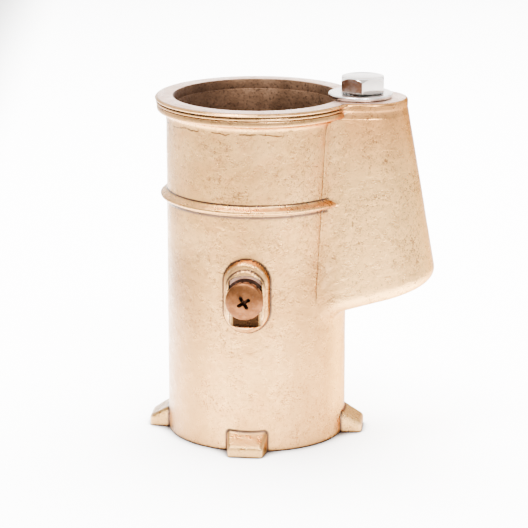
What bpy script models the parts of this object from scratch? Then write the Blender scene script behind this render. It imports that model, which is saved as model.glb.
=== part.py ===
"""Cast bronze deck anchor socket for a pool ladder or grab rail leg.

A sleeve holds a 1.90 in rail tube. A wedge in the pocket on the +X side is drawn
up by a hex bolt and clamps the tube. A bonding screw sits in a boss on the -Y
side, and four lugs key the foot into the concrete.

Lengths are written in millimetres times MM. Every piece is laid out about the
bore's axis and then carried by one empty, which puts the world origin under the
middle of the whole object.
"""
import math

import bmesh
import bpy
from mathutils import Matrix, Vector

MM = 0.001
GAP = 0.25 * MM                  # clearance kept between pieces that touch

# Sleeve
HEIGHT = 103.0 * MM
SLEEVE_R = 26.9 * MM
BORE_R = 24.35 * MM              # 48.26 mm rail with a sliding fit
MOUTH_R = 24.65 * MM             # turned counterbore at the mouth
MOUTH_DEPTH = 2.9 * MM
LEDGE_R = 20.5 * MM              # inner edge of the ledge the rail stands on
LEDGE_TOP = 3.0 * MM
LEDGE_BEVEL = 0.6 * MM
FOOT_ROUND = 0.5 * MM
TURN_STEPS = 96

# Rim flange, measured down from the top face
LIP_R = 30.3 * MM
LIP_FLAT_R = 29.4 * MM
LIP_DEPTH = 1.15 * MM
GROOVE_R = 29.55 * MM
GROOVE_WIDTH = 0.3 * MM
BEAD_R = 30.0 * MM
BEAD_WIDTH = 0.6 * MM
RING_R = 29.6 * MM
RING_FOOT = 4.2 * MM
RING_FILLET_FOOT = 6.0 * MM

# Rib round the sleeve
RIB_Z = 73.6 * MM
RIB_HALF = 0.95 * MM
RIB_R = 28.8 * MM
RIB_ROUND = 0.5 * MM

# Small edge breaks and fillets
BREAK = 0.4 * MM
FILLET = 0.7 * MM

# Wedge pocket: plan outline is two side walls joined by a full round nose
POCKET_HALF_TOP = 12.0 * MM      # half width at the top face
POCKET_DRAFT = math.tan(math.radians(3.4))
POCKET_END_TOP = 44.6 * MM       # end wall at the top face
SLIDE_ANGLE = math.radians(10.0)
POCKET_FLARE = 6.0 * MM          # fillet between side wall and sleeve
POCKET_FLOOR_X = 29.3 * MM       # the underside passes through this point
POCKET_FLOOR_Z = 40.9 * MM
POCKET_FLOOR_SLOPE = math.tan(math.radians(16.0))
POCKET_BOTTOM_ROUND = 4.1 * MM
BURIED = 0.9                     # outlines start this share of the way into the sleeve's wall
POCKET_LEVELS = 7
POCKET_ROUND_STEPS = 5
NOSE_STEPS = 20
FLARE_STEPS = 5

# Lip of the pocket
TONGUE_HALF = 12.2 * MM
TONGUE_END = 45.1 * MM
TONGUE_DEPTH = 2.6 * MM
TONGUE_ROUND = 0.8 * MM
TONGUE_NECK = 5.0 * MM           # fillet between the lip and the rim

# Cavity inside the pocket
WALL = 3.1 * MM
ROOF = 5.0 * MM
SLOT_R = 4.35 * MM

# Wedge
WEDGE_TOP = 88.0 * MM
WEDGE_FOOT = 56.0 * MM
WEDGE_R = 8.8 * MM               # half width and radius of its round back
WEDGE_EDGE = 0.8 * MM
WEDGE_CLEARANCE = 0.4 * MM       # behind its round back
RAIL_R = 24.13 * MM
WEDGE_SETBACK = 1.2 * MM         # from the rail's surface, at rest
WEDGE_TRAVEL = 8.0 * MM

# Wedge bolt 5/16-18 x 2 in, and its washer
BOLT_X = 31.6 * MM
BOLT_R = 3.97 * MM
BOLT_LENGTH = 50.8 * MM
BOLT_FLATS = 12.5 * MM
BOLT_HEAD = 4.7 * MM
BOLT_CHAMFER = 0.9 * MM
BOLT_TURN = math.radians(33.5)   # angle of a corner from +X
TAPPED_CLEARANCE = 0.33 * MM
WASHER_X = 30.95 * MM
WASHER_R = 9.53 * MM
WASHER_HOLE_R = 4.76 * MM
WASHER_THICK = 1.1 * MM

# Bonding boss on the -Y side
BOSS_Z = 48.15 * MM
BOSS_HALF_WIDTH = 6.75 * MM
BOSS_HALF_HEIGHT = 10.95 * MM
BOSS_FACE = 30.6 * MM            # distance of its flat face from the bore's axis
BOSS_SLOPE = 0.45 * MM           # how far the sides draw in
BOSS_ROUND = 0.45 * MM           # round between its sides and its face
RECESS_HALF_WIDTH = 4.7 * MM
RECESS_DEPTH = 1.3 * MM
RECESS_FOOT = 39.6 * MM
RECESS_TOP = 55.2 * MM
RECESS_ARCH_R = 7.6 * MM         # radius of its arched upper edge
RECESS_CORNER = 0.9 * MM         # round at its lower corners

# Bonding screw No. 12 pan head, and its washer
SCREW_Z = 48.2 * MM
SCREW_R = 2.7 * MM
SCREW_LENGTH = 6.8 * MM
SCREW_HEAD_R = 5.6 * MM
SCREW_HEAD = 3.0 * MM
SCREW_CROWN = 1.1 * MM
CROSS_LENGTH = 4.7 * MM
CROSS_WIDTH = 1.1 * MM
CROSS_DEPTH = 1.6 * MM
CROSS_DRAFT = 0.9 * MM           # each arm's end draws in by this much
CROSS_TURN = math.radians(32.0)
BOND_WASHER_R = 5.4 * MM
BOND_WASHER_THICK = 0.8 * MM

# Key lugs at the foot, one every 90 degrees
LUG_R = 32.5 * MM
LUG_HALF_WIDTH = 5.9 * MM
LUG_FACE_HALF = 5.1 * MM
LUG_FACE_HEIGHT = 3.0 * MM
LUG_HEIGHT = 6.2 * MM

# The world origin lies under the middle of the object's box
POCKET_MAX_X = 53.6 * MM
ORIGIN_X = (POCKET_MAX_X - LUG_R) / 2
SCREW_FRONT = BOSS_FACE + 2 * GAP + BOND_WASHER_THICK + SCREW_HEAD
ORIGIN_Y = (LUG_R - SCREW_FRONT) / 2


def clear_scene():
    """Remove every object so that the script starts from nothing."""
    for obj in list(bpy.data.objects):
        bpy.data.objects.remove(obj, do_unlink=True)


def metal(name, colour, roughness, metallic=1.0):
    """Return a plain metal material."""
    mat = bpy.data.materials.new(name)
    mat.use_nodes = True
    shader = mat.node_tree.nodes["Principled BSDF"]
    shader.inputs["Base Color"].default_value = (*colour, 1.0)
    shader.inputs["Roughness"].default_value = roughness
    shader.inputs["Metallic"].default_value = metallic
    mat.diffuse_color = (*colour, 1.0)
    return mat


def add_mesh(name, verts, faces, mat=None):
    """Make an object from points and faces, with its faces pointing out."""
    mesh = bpy.data.meshes.new(name)
    bm = bmesh.new()
    corners = [bm.verts.new(v) for v in verts]
    for face in faces:
        bm.faces.new([corners[i] for i in face])
    bmesh.ops.recalc_face_normals(bm, faces=bm.faces)
    bm.to_mesh(mesh)
    bm.free()
    obj = bpy.data.objects.new(name, mesh)
    bpy.context.scene.collection.objects.link(obj)
    if mat:
        mesh.materials.append(mat)
    return obj


def loft(name, rings, mat=None):
    """Skin equal-length closed rings and cap both ends."""
    count = len(rings[0])
    verts = [p for ring in rings for p in ring]
    faces = []
    for k in range(len(rings) - 1):
        low, high = k * count, (k + 1) * count
        for i in range(count):
            j = (i + 1) % count
            faces.append((low + i, low + j, high + j, high + i))
    faces.append(tuple(range(count)))
    faces.append(tuple(range((len(rings) - 1) * count, len(rings) * count)))
    return add_mesh(name, verts, faces, mat)


def turned(name, profile, mat=None, steps=TURN_STEPS):
    """Turn (radius, height) points about Z; the profile starts and ends on the axis."""
    first, last = profile[0], profile[-1]
    verts = [(0, 0, first[1])]
    rings = profile[1:-1]
    for radius, height in rings:
        for i in range(steps):
            angle = 2 * math.pi * i / steps
            verts.append((radius * math.cos(angle), radius * math.sin(angle), height))
    verts.append((0, 0, last[1]))
    end = len(verts) - 1
    faces = []
    for i in range(steps):
        j = (i + 1) % steps
        faces.append((0, 1 + i, 1 + j))
        for k in range(len(rings) - 1):
            low, high = 1 + k * steps, 1 + (k + 1) * steps
            faces.append((low + i, low + j, high + j, high + i))
        top = 1 + (len(rings) - 1) * steps
        faces.append((top + i, top + j, end))
    return add_mesh(name, verts, faces, mat)


def ring_solid(name, profile, mat=None, steps=TURN_STEPS):
    """Turn a closed (radius, height) outline that stays off the axis."""
    count = len(profile)
    verts = []
    for i in range(steps):
        angle = 2 * math.pi * i / steps
        for radius, height in profile:
            verts.append((radius * math.cos(angle), radius * math.sin(angle), height))
    faces = []
    for i in range(steps):
        here, there = i * count, ((i + 1) % steps) * count
        for k in range(count):
            m = (k + 1) % count
            faces.append((here + k, here + m, there + m, there + k))
    return add_mesh(name, verts, faces, mat)


def arc(cx, cy, radius, start, stop, steps):
    """Points on an arc, both ends included; angles in radians."""
    return [(cx + radius * math.cos(start + (stop - start) * i / steps),
             cy + radius * math.sin(start + (stop - start) * i / steps))
            for i in range(steps + 1)]


def combine(target, other, operation):
    """Add an exact Boolean modifier, and hide the other shape from the build."""
    other.hide_render = True
    other.display_type = 'WIRE'
    mod = target.modifiers.new(operation.title() + "_" + other.name, 'BOOLEAN')
    mod.operation = operation
    mod.solver = 'EXACT'
    mod.object = other


def smooth_round(obj, degrees=35):
    """Shade round stretches smooth and keep real edges sharp."""
    obj.data.shade_smooth()
    obj.data.set_sharp_from_angle(angle=math.radians(degrees))


# ---------------------------------------------------------------- wedge pocket

def pocket_half(z):
    """Half width of the pocket's side walls at a height."""
    return POCKET_HALF_TOP + (HEIGHT - z) * POCKET_DRAFT


def pocket_end(z):
    """X of the pocket's end wall at a height."""
    return POCKET_END_TOP + (HEIGHT - z) * math.tan(SLIDE_ANGLE)


def pocket_floor(x):
    """Height of the pocket's sloping underside."""
    return POCKET_FLOOR_Z + (x - POCKET_FLOOR_X) * POCKET_FLOOR_SLOPE


def outer_outline(z, inset):
    """Plan outline of the pocket, flared into the sleeve."""
    half = pocket_half(z) - inset
    flare = POCKET_FLARE + inset
    rise = math.asin((half + flare) / (SLEEVE_R + flare))
    hub = (SLEEVE_R + flare) * math.cos(rise)
    depth = -BURIED * SLEEVE_R * math.sin(rise)
    start = [(BORE_R / 3, depth), (BURIED * SLEEVE_R * math.cos(rise), depth)]
    fillet = arc(hub, -half - flare, flare, math.pi - rise, math.pi / 2, FLARE_STEPS)
    nose = arc(pocket_end(z) - inset - half, 0, half, -math.pi / 2, 0, NOSE_STEPS)[:-1]
    tip = [(pocket_end(z) - inset, 0)]
    side = start + fillet + nose
    return side + tip + [(x, -y) for x, y in reversed(side)]


def inner_outline(z, inset):
    """Plan outline of the cavity, open towards the bore."""
    half = pocket_half(z) - inset
    nose = arc(pocket_end(z) - inset - half, 0, half, -math.pi / 2, 0, NOSE_STEPS)[:-1]
    side = [(BORE_R / 2, -half)] + nose
    return side + [(pocket_end(z) - inset, 0)] + [(x, -y) for x, y in reversed(side)]


def pocket_rings(outline, inset, top, lift, round_radius):
    """Rings of the pocket from a flat top down to its sloping, rounded underside."""
    def ring(share, extra_inset, rise):
        count = len(outline(top, inset))
        points = []
        for i in range(count):
            z = top
            for _ in range(4):
                x, y = outline(z, inset + extra_inset)[i]
                z = top + (pocket_floor(x) + lift + rise - top) * share
            points.append((x, y, z))
        return points

    rings = [ring(k / POCKET_LEVELS, 0, round_radius) for k in range(POCKET_LEVELS + 1)]
    for k in range(1, POCKET_ROUND_STEPS + 1):
        angle = math.pi / 2 * k / POCKET_ROUND_STEPS
        rings.append(ring(1, round_radius * (1 - math.cos(angle)),
                          round_radius * (1 - math.sin(angle))))
    return rings


def add_pocket():
    """The pocket's outer shape."""
    rings = pocket_rings(outer_outline, 0, HEIGHT - TONGUE_DEPTH / 2, 0, POCKET_BOTTOM_ROUND)
    return loft("pocket_shape", rings)


def add_cavity():
    """The space inside the pocket, open to the bore."""
    rings = pocket_rings(inner_outline, WALL, HEIGHT - ROOF, WALL, POCKET_BOTTOM_ROUND - WALL)
    return loft("cavity_cutter", rings)


def add_tongue():
    """The flat lip over the pocket, level with the rim's top face."""
    def outline(inset):
        half = TONGUE_HALF - inset
        nose = arc(TONGUE_END - inset - half, 0, half, -math.pi / 2, 0, NOSE_STEPS)[:-1]
        neck = TONGUE_NECK + inset
        reach = LIP_R - inset
        rise = math.asin((half + neck) / (reach + neck))
        hub = (reach + neck) * math.cos(rise)
        depth = -BURIED * reach * math.sin(rise)
        start = [(BORE_R / 3, depth), (BURIED * reach * math.cos(rise), depth)]
        fillet = arc(hub, -half - neck, neck, math.pi - rise, math.pi / 2, FLARE_STEPS)
        side = start + fillet + nose
        return side + [(TONGUE_END - inset, 0)] + [(x, -y) for x, y in reversed(side)]

    levels = [(0.6 * TONGUE_ROUND, HEIGHT - TONGUE_DEPTH), (0, HEIGHT - TONGUE_DEPTH + TONGUE_ROUND)]
    for k in range(4):
        angle = math.pi / 2 * k / 3
        levels.append((TONGUE_ROUND * (1 - math.cos(angle)),
                       HEIGHT - TONGUE_ROUND * (1 - math.sin(angle))))
    rings = [[(x, y, z) for x, y in outline(inset)] for inset, z in levels]
    return loft("tongue_shape", rings)


def add_slot():
    """The bolt's slot through the pocket's roof, long enough for the wedge's travel."""
    shift = WEDGE_TRAVEL * math.sin(SLIDE_ANGLE)
    plan = (arc(BOLT_X, 0, SLOT_R, -math.pi / 2, math.pi / 2, 12)
            + arc(BOLT_X - shift, 0, SLOT_R, math.pi / 2, 3 * math.pi / 2, 12))
    rings = [[(x, y, z) for x, y in plan] for z in (HEIGHT - 2 * ROOF, HEIGHT + ROOF)]
    return loft("slot_cutter", rings)


# ---------------------------------------------------------------- socket body

def sleeve_profile():
    """Outer profile of the sleeve, foot to rim."""
    top = HEIGHT
    first_groove = top - LIP_DEPTH
    second_groove = first_groove - GROOVE_WIDTH - BEAD_WIDTH
    return [
        (0, 0),
        (SLEEVE_R - FOOT_ROUND, 0),
        (SLEEVE_R, FOOT_ROUND),
        (SLEEVE_R, RIB_Z - RIB_HALF - RIB_ROUND),
        (SLEEVE_R + RIB_ROUND / 2, RIB_Z - RIB_HALF),
        (RIB_R - RIB_ROUND, RIB_Z - RIB_HALF),
        (RIB_R, RIB_Z - RIB_HALF + RIB_ROUND),
        (RIB_R, RIB_Z),
        (RIB_R - RIB_ROUND, RIB_Z + RIB_ROUND),
        (SLEEVE_R + RIB_ROUND, RIB_Z + RIB_HALF),
        (SLEEVE_R, RIB_Z + RIB_HALF + FILLET),
        (SLEEVE_R, top - RING_FILLET_FOOT),
        (SLEEVE_R + FILLET, top - RING_FILLET_FOOT + FILLET),
        (RING_R - BREAK, top - RING_FOOT),
        (RING_R, top - RING_FOOT + BREAK),
        (RING_R, second_groove - GROOVE_WIDTH),
        (GROOVE_R, second_groove - GROOVE_WIDTH / 2),
        (BEAD_R, second_groove),
        (BEAD_R, first_groove - GROOVE_WIDTH),
        (GROOVE_R, first_groove - GROOVE_WIDTH / 2),
        (LIP_R, first_groove),
        (LIP_R, top - BREAK),
        (LIP_R - BREAK / 2, top - BREAK / 3),
        (LIP_FLAT_R, top),
        (0, top),
    ]


def bore_profile():
    """Bore, ledge and mouth, cut from end to end."""
    top = HEIGHT
    return [
        (0, -ROOF),
        (LEDGE_R, -ROOF),
        (LEDGE_R, LEDGE_TOP - LEDGE_BEVEL),
        (LEDGE_R + LEDGE_BEVEL, LEDGE_TOP),
        (BORE_R, LEDGE_TOP),
        (BORE_R, top - MOUTH_DEPTH),
        (MOUTH_R, top - MOUTH_DEPTH),
        (MOUTH_R, top - BREAK),
        (MOUTH_R + BREAK, top),
        (MOUTH_R + BREAK, top + ROOF),
        (0, top + ROOF),
    ]


def add_lug(index):
    """One key lug: a vertical outer face under a sloping top."""
    rings = []
    for x, half, height in ((BURIED * SLEEVE_R, LUG_HALF_WIDTH, LUG_HEIGHT),
                            (SLEEVE_R, LUG_HALF_WIDTH, LUG_HEIGHT),
                            (LUG_R - BREAK, LUG_FACE_HALF, LUG_FACE_HEIGHT + BREAK),
                            (LUG_R, LUG_FACE_HALF - BREAK, LUG_FACE_HEIGHT)):
        rings.append([(x, -half, 0), (x, half, 0), (x, half, height - FILLET),
                      (x, half - FILLET, height), (x, -half + FILLET, height),
                      (x, -half, height - FILLET)])
    lug = loft("lug_shape_%d" % index, rings)
    lug.rotation_euler = (0, 0, math.pi / 2 * index)
    return lug


def stadium(half_width, half_height, centre_z, steps=10):
    """Outline of an upright stadium in (x, z)."""
    straight = half_height - half_width
    upper = arc(0, centre_z + straight, half_width, 0, math.pi, steps)
    lower = arc(0, centre_z - straight, half_width, math.pi, 2 * math.pi, steps)
    return upper + lower


def add_boss():
    """The bonding boss, with sloping sides and a flat face."""
    rings = []
    for y, inset in ((BURIED * SLEEVE_R, 0),
                     (BOSS_FACE - BOSS_ROUND, BOSS_SLOPE),
                     (BOSS_FACE - BOSS_ROUND / 3, BOSS_SLOPE + BOSS_ROUND / 3),
                     (BOSS_FACE, BOSS_SLOPE + BOSS_ROUND)):
        outline = stadium(BOSS_HALF_WIDTH - inset, BOSS_HALF_HEIGHT - inset, BOSS_Z)
        rings.append([(x, -y, z) for x, z in outline])
    return loft("boss_shape", rings)


def add_recess():
    """The wire recess across the boss's face: low arch above, square below."""
    half = RECESS_HALF_WIDTH
    spread = math.asin(half / RECESS_ARCH_R)
    arch_centre = RECESS_TOP - RECESS_ARCH_R
    outline = arc(0, arch_centre, RECESS_ARCH_R, math.pi / 2 - spread, math.pi / 2 + spread, 12)
    for side, start in ((-1, math.pi), (1, 1.5 * math.pi)):
        outline += arc(side * (half - RECESS_CORNER), RECESS_FOOT + RECESS_CORNER, RECESS_CORNER,
                       start, start + math.pi / 2, 3)
    rings = [[(x, -y, z) for x, z in outline] for y in (BOSS_FACE - RECESS_DEPTH, BOSS_FACE + ROOF)]
    return loft("recess_cutter", rings)


def add_screw_hole():
    """The bonding screw's hole through the sleeve's wall."""
    radius = SCREW_R + GAP
    hole = turned("screw_hole_cutter", [(0, 0), (radius, 0), (radius, 2 * ROOF), (0, 2 * ROOF)], steps=24)
    hole.matrix_world = facing_minus_y(BORE_R - ROOF / 2)
    return hole


def build_socket(mat):
    """The one-piece casting: sleeve, rim, rib, pocket, lugs and boss."""
    body = turned("socket_body", sleeve_profile(), mat)
    shapes = [add_pocket(), add_tongue(), add_boss()] + [add_lug(i) for i in range(4)]
    cutters = [add_recess(), add_screw_hole(), add_slot(), add_cavity(),
               turned("bore_cutter", bore_profile())]
    for shape in shapes:
        combine(body, shape, 'UNION')
    for cutter in cutters:
        combine(body, cutter, 'DIFFERENCE')
    smooth_round(body)
    return [body] + shapes + cutters


# ---------------------------------------------------------------- clamp pieces

def build_wedge(mat):
    """The wedge: hollow front face for the rail, round sloping back, tapped through."""
    def outline(z, inset):
        # every level has the same section, shifted along the pocket's slope
        half = WEDGE_R - inset
        shift = (WEDGE_TOP - z) * math.tan(SLIDE_ANGLE)
        back = pocket_end(WEDGE_TOP) - WALL - WEDGE_CLEARANCE - WEDGE_R + shift
        front = RAIL_R + WEDGE_SETBACK + inset
        spread = math.asin(half / (RAIL_R + inset))
        hollow = arc(front - RAIL_R - inset, 0, RAIL_R + inset, spread, -spread, 10)
        return hollow + arc(back, 0, half, -math.pi / 2, math.pi / 2, 18)

    levels = [(WEDGE_FOOT, WEDGE_EDGE), (WEDGE_FOOT + WEDGE_EDGE, 0),
              (WEDGE_TOP - WEDGE_EDGE, 0), (WEDGE_TOP, WEDGE_EDGE)]
    wedge = loft("wedge", [[(x, y, z) for x, y in outline(z, inset)] for z, inset in levels], mat)
    radius = BOLT_R + TAPPED_CLEARANCE
    hole = turned("tapped_hole_cutter", [
        (0, WEDGE_FOOT - ROOF), (radius + FILLET + ROOF, WEDGE_FOOT - ROOF), (radius, WEDGE_FOOT + FILLET),
        (radius, WEDGE_TOP - FILLET), (radius + FILLET, WEDGE_TOP), (radius + FILLET, WEDGE_TOP + ROOF),
        (0, WEDGE_TOP + ROOF)], steps=32)
    hole.location = (BOLT_X, 0, 0)
    combine(wedge, hole, 'DIFFERENCE')
    smooth_round(wedge)
    return [wedge, hole]


def build_bolt(mat):
    """Hex bolt: chamfered head, shank and a chamfered tip, about its own axis."""
    seat = HEIGHT + 2 * GAP + WASHER_THICK
    corner = BOLT_FLATS / math.sqrt(3)
    hexagon = [(corner * math.cos(BOLT_TURN + math.pi / 3 * k),
                corner * math.sin(BOLT_TURN + math.pi / 3 * k)) for k in range(6)]
    head = loft("wedge_bolt", [[(x, y, z) for x, y in hexagon] for z in (0, BOLT_HEAD)], mat)
    crown = turned("crown_cutter", [
        (0, -BOLT_R), (2 * corner, -BOLT_R), (2 * corner, BOLT_HEAD - BOLT_CHAMFER),
        (corner, BOLT_HEAD - BOLT_CHAMFER), (BOLT_FLATS / 2 - BREAK, BOLT_HEAD), (0, BOLT_HEAD)],
        steps=48)
    shank = turned("shank_shape", [
        (0, -BOLT_LENGTH), (BOLT_R - FILLET, -BOLT_LENGTH), (BOLT_R, -BOLT_LENGTH + FILLET),
        (BOLT_R, BOLT_HEAD / 2), (0, BOLT_HEAD / 2)], steps=32)
    combine(head, crown, 'INTERSECT')
    combine(head, shank, 'UNION')
    smooth_round(head, 25)
    pieces = [head, crown, shank]
    for piece in pieces:
        piece.location = (BOLT_X, 0, seat)
    return pieces


def build_washer(name, radius, hole_radius, thick, mat, steps=64):
    """Flat washer with broken edges, its back face at z = 0."""
    edge = thick / 5
    outline = [(hole_radius, 0), (radius - edge, 0), (radius, edge), (radius, thick - edge),
               (radius - edge, thick), (hole_radius, thick)]
    washer = ring_solid(name, outline, mat, steps)
    smooth_round(washer)
    return washer


def facing_minus_y(distance):
    """Placement that turns +Z to face -Y, at a distance from the bore's axis."""
    return Matrix.Translation((0, -distance, SCREW_Z)) @ Matrix.Rotation(math.pi / 2, 4, 'X')


def build_bonding_screw(mat):
    """Pan head screw with a cross recess, about its own axis."""
    shoulder = SCREW_HEAD - SCREW_CROWN
    dome_radius = (SCREW_HEAD_R ** 2 + SCREW_CROWN ** 2) / (2 * SCREW_CROWN)
    profile = [(0, -SCREW_LENGTH), (SCREW_R - BREAK, -SCREW_LENGTH), (SCREW_R, -SCREW_LENGTH + BREAK),
               (SCREW_R, 0), (SCREW_HEAD_R - BREAK, 0), (SCREW_HEAD_R, BREAK)]
    for k in range(8):
        radius = SCREW_HEAD_R * (1 - k / 8)
        height = shoulder + math.sqrt(dome_radius ** 2 - radius ** 2) - (dome_radius - SCREW_CROWN)
        profile.append((radius, height))
    profile.append((0, SCREW_HEAD))
    screw = turned("bonding_screw", profile, mat, steps=48)
    arm_x = CROSS_LENGTH / 2
    arm_y = CROSS_WIDTH / 2
    pieces = [screw]
    for k in range(2):
        rings = []
        for z, draw in ((SCREW_HEAD - CROSS_DEPTH, CROSS_DRAFT), (SCREW_HEAD + CROSS_DEPTH, 0)):
            reach = arm_x - draw
            plan = [(-reach, -arm_y), (reach, -arm_y), (reach, arm_y), (-reach, arm_y)]
            rings.append([(x, y, z) for x, y in plan])
        arm = loft("cross_cutter_%d" % k, rings)
        combine(screw, arm, 'DIFFERENCE')
        pieces.append(arm)
    smooth_round(screw)
    place = facing_minus_y(BOSS_FACE + 2 * GAP + BOND_WASHER_THICK)
    for k, piece in enumerate(pieces):
        turn = CROSS_TURN + (math.pi / 2 if k == 2 else 0)
        piece.matrix_world = place @ (Matrix.Rotation(turn, 4, 'Z') if k else Matrix.Identity(4))
    return pieces


def main():
    clear_scene()
    bronze = metal("cast_bronze", (0.80, 0.58, 0.42), 0.42)
    wedge_bronze = metal("wedge_bronze", (0.74, 0.52, 0.34), 0.5)
    stainless = metal("stainless", (0.78, 0.77, 0.75), 0.25)
    washer_steel = metal("washer_steel", (0.83, 0.82, 0.80), 0.3)
    screw_bronze = metal("screw_bronze", (0.55, 0.29, 0.15), 0.35)
    lock_steel = metal("bonding_washer_bronze", (0.62, 0.38, 0.22), 0.4)

    carrier = bpy.data.objects.new("bore_axis", None)
    bpy.context.scene.collection.objects.link(carrier)
    pieces = build_socket(bronze) + build_wedge(wedge_bronze) + build_bolt(stainless)
    washer = build_washer("flat_washer", WASHER_R, WASHER_HOLE_R, WASHER_THICK, washer_steel)
    washer.location = (WASHER_X, 0, HEIGHT + GAP)
    bond_washer = build_washer("bonding_washer", BOND_WASHER_R, SCREW_R + BREAK, BOND_WASHER_THICK,
                               lock_steel, steps=48)
    bond_washer.matrix_world = facing_minus_y(BOSS_FACE + GAP)
    pieces += [washer, bond_washer] + build_bonding_screw(screw_bronze)
    for piece in pieces:
        piece.parent = carrier
    carrier.location = Vector((-ORIGIN_X, -ORIGIN_Y, 0))


main()
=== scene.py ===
"""Looks of the bronze deck anchor socket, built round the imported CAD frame.

The casting is rebuilt as one fine surface: its outside is a radius that depends on
the direction and the height, sampled densely where edges and fillets are, and its
bore, cavity, slot and recess are cut from that. The bolt, screw and washers are
rebuilt with threads, chamfers and stamped edges. Lengths are millimetres times MM.
"""

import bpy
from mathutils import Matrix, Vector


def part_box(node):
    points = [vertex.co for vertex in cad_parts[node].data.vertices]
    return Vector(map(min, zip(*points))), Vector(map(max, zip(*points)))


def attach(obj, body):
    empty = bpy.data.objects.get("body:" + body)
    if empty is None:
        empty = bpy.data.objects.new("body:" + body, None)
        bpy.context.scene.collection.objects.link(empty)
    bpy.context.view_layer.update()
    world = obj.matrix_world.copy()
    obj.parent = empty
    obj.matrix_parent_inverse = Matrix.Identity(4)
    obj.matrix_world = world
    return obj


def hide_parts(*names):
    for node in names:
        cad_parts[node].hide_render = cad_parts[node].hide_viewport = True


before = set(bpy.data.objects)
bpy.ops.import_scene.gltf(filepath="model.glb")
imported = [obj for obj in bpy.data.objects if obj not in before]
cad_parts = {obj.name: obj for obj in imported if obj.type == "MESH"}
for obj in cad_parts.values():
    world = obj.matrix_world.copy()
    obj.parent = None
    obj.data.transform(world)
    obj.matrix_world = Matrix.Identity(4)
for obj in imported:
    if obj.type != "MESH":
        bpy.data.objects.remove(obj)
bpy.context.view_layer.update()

import math

import bmesh
import bpy
import numpy as np
from mathutils import Matrix, Vector, noise

MM = 0.001
DEG = math.pi / 180

# ------------------------------------------------------------ sizes shared with the CAD
BODY_LOW, BODY_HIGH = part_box("socket_body")
HEIGHT = BODY_HIGH.z
LUG_R = 32.5 * MM
BORE_AXIS = Vector((BODY_LOW.x + LUG_R, BODY_LOW.y + LUG_R, 0))
SLEEVE_R = 26.9 * MM
BORE_R = 24.35 * MM
MOUTH_R = 24.65 * MM
MOUTH_DEPTH = 2.9 * MM
LEDGE_R = 20.5 * MM
LEDGE_TOP = 3.0 * MM
RIB_Z = 73.6 * MM
SLIDE_ANGLE = 10.0 * DEG
POCKET_HALF_TOP = 12.0 * MM
POCKET_DRAFT = math.tan(3.4 * DEG)
POCKET_END_TOP = 44.6 * MM
POCKET_FLOOR_X = 29.3 * MM
POCKET_FLOOR_Z = 40.9 * MM
POCKET_FLOOR_SLOPE = math.tan(16.0 * DEG)
TONGUE_HALF = 12.2 * MM
TONGUE_END = 45.1 * MM
WALL = 3.1 * MM
ROOF = 5.0 * MM
SLOT_R = 4.35 * MM
WEDGE_TRAVEL = 8.0 * MM
BOSS_Z = 48.15 * MM
BOSS_FACE = 30.6 * MM            # distance of its face from the bore's axis
RECESS_DEPTH = 1.3 * MM
SCREW_Z = (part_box("bonding_screw")[0].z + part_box("bonding_screw")[1].z) / 2
SCREW_HEAD_R = 5.6 * MM
BOLT_X = (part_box("wedge_bolt")[0].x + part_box("wedge_bolt")[1].x) / 2
BOLT_TURN = 33.5                 # angle of a corner of its head from +X, in degrees


# ------------------------------------------------------------ distance functions, in mm
# The casting is described about the bore's axis: x towards the pocket, z up.
H = HEIGHT / MM
SLEEVE = SLEEVE_R / MM
POCKET_FLARE = 3.2               # softness of the pocket's fillet into the sleeve
POCKET_ROUND = 4.1               # round along the pocket's bottom edge
FLOOR_LEAN = 0.961               # cosine of the pocket floor's slope
CREASE_OFFSET = 2.9              # the fine crease lies this far outside the side wall
MAX_RADIUS = 55.2                # nothing of the casting lies further from the axis
LIP_R = 29.2
LIP_DEPTH = 2.5
NECK_FLARE = 3.5                 # softness of the lip's fillet into the rim
LUG_HALF, LUG_TOP = 5.95, 6.2    # where a lug leaves the sleeve
LUG_DRAFT, LUG_SLOPE = 0.15, 0.571
LUG_LEAN = 0.868                 # cosine of that slope
# the boss's two steps: half width, foot, top, distance of the face, edge round
BOSS_STEPS = ((6.75, 37.2, 59.1, BOSS_FACE / MM - 0.9, 1.3), (6.1, 38.3, 56.9, BOSS_FACE / MM, 0.5))


def soft_union(a, b, k):
    h = np.clip(0.5 + 0.5 * (b - a) / k, 0, 1)
    return b + (a - b) * h - k * h * (1 - h)


def round_and(a, b, radius):
    """Where both a and b are inside, with a round edge of that radius."""
    ua, ub = np.maximum(a + radius, 0), np.maximum(b + radius, 0)
    return np.hypot(ua, ub) - radius + np.minimum(np.maximum(a + radius, b + radius), 0)


def tongue(x, y, half, end):
    """Plan distance to two side walls joined by a full round nose, on the +x side."""
    hub = end - half
    outline = np.where(x > hub, np.hypot(x - hub, y), np.abs(y)) - half
    return np.where(x > 0, outline, 50.0)


def pocket_half(z):
    return POCKET_HALF_TOP / MM + (H - z) * POCKET_DRAFT


def pocket_end(z):
    return POCKET_END_TOP / MM + (H - z) * math.tan(SLIDE_ANGLE)


def pocket_floor(x):
    return POCKET_FLOOR_Z / MM + (x - POCKET_FLOOR_X / MM) * POCKET_FLOOR_SLOPE


def arc_points(cx, cy, radius, start, stop, steps):
    """Points on an arc, angles in degrees, both ends included."""
    angles = np.radians(np.linspace(start, stop, steps + 1))
    return [(cx + radius * math.cos(a), cy + radius * math.sin(a)) for a in angles]


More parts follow.
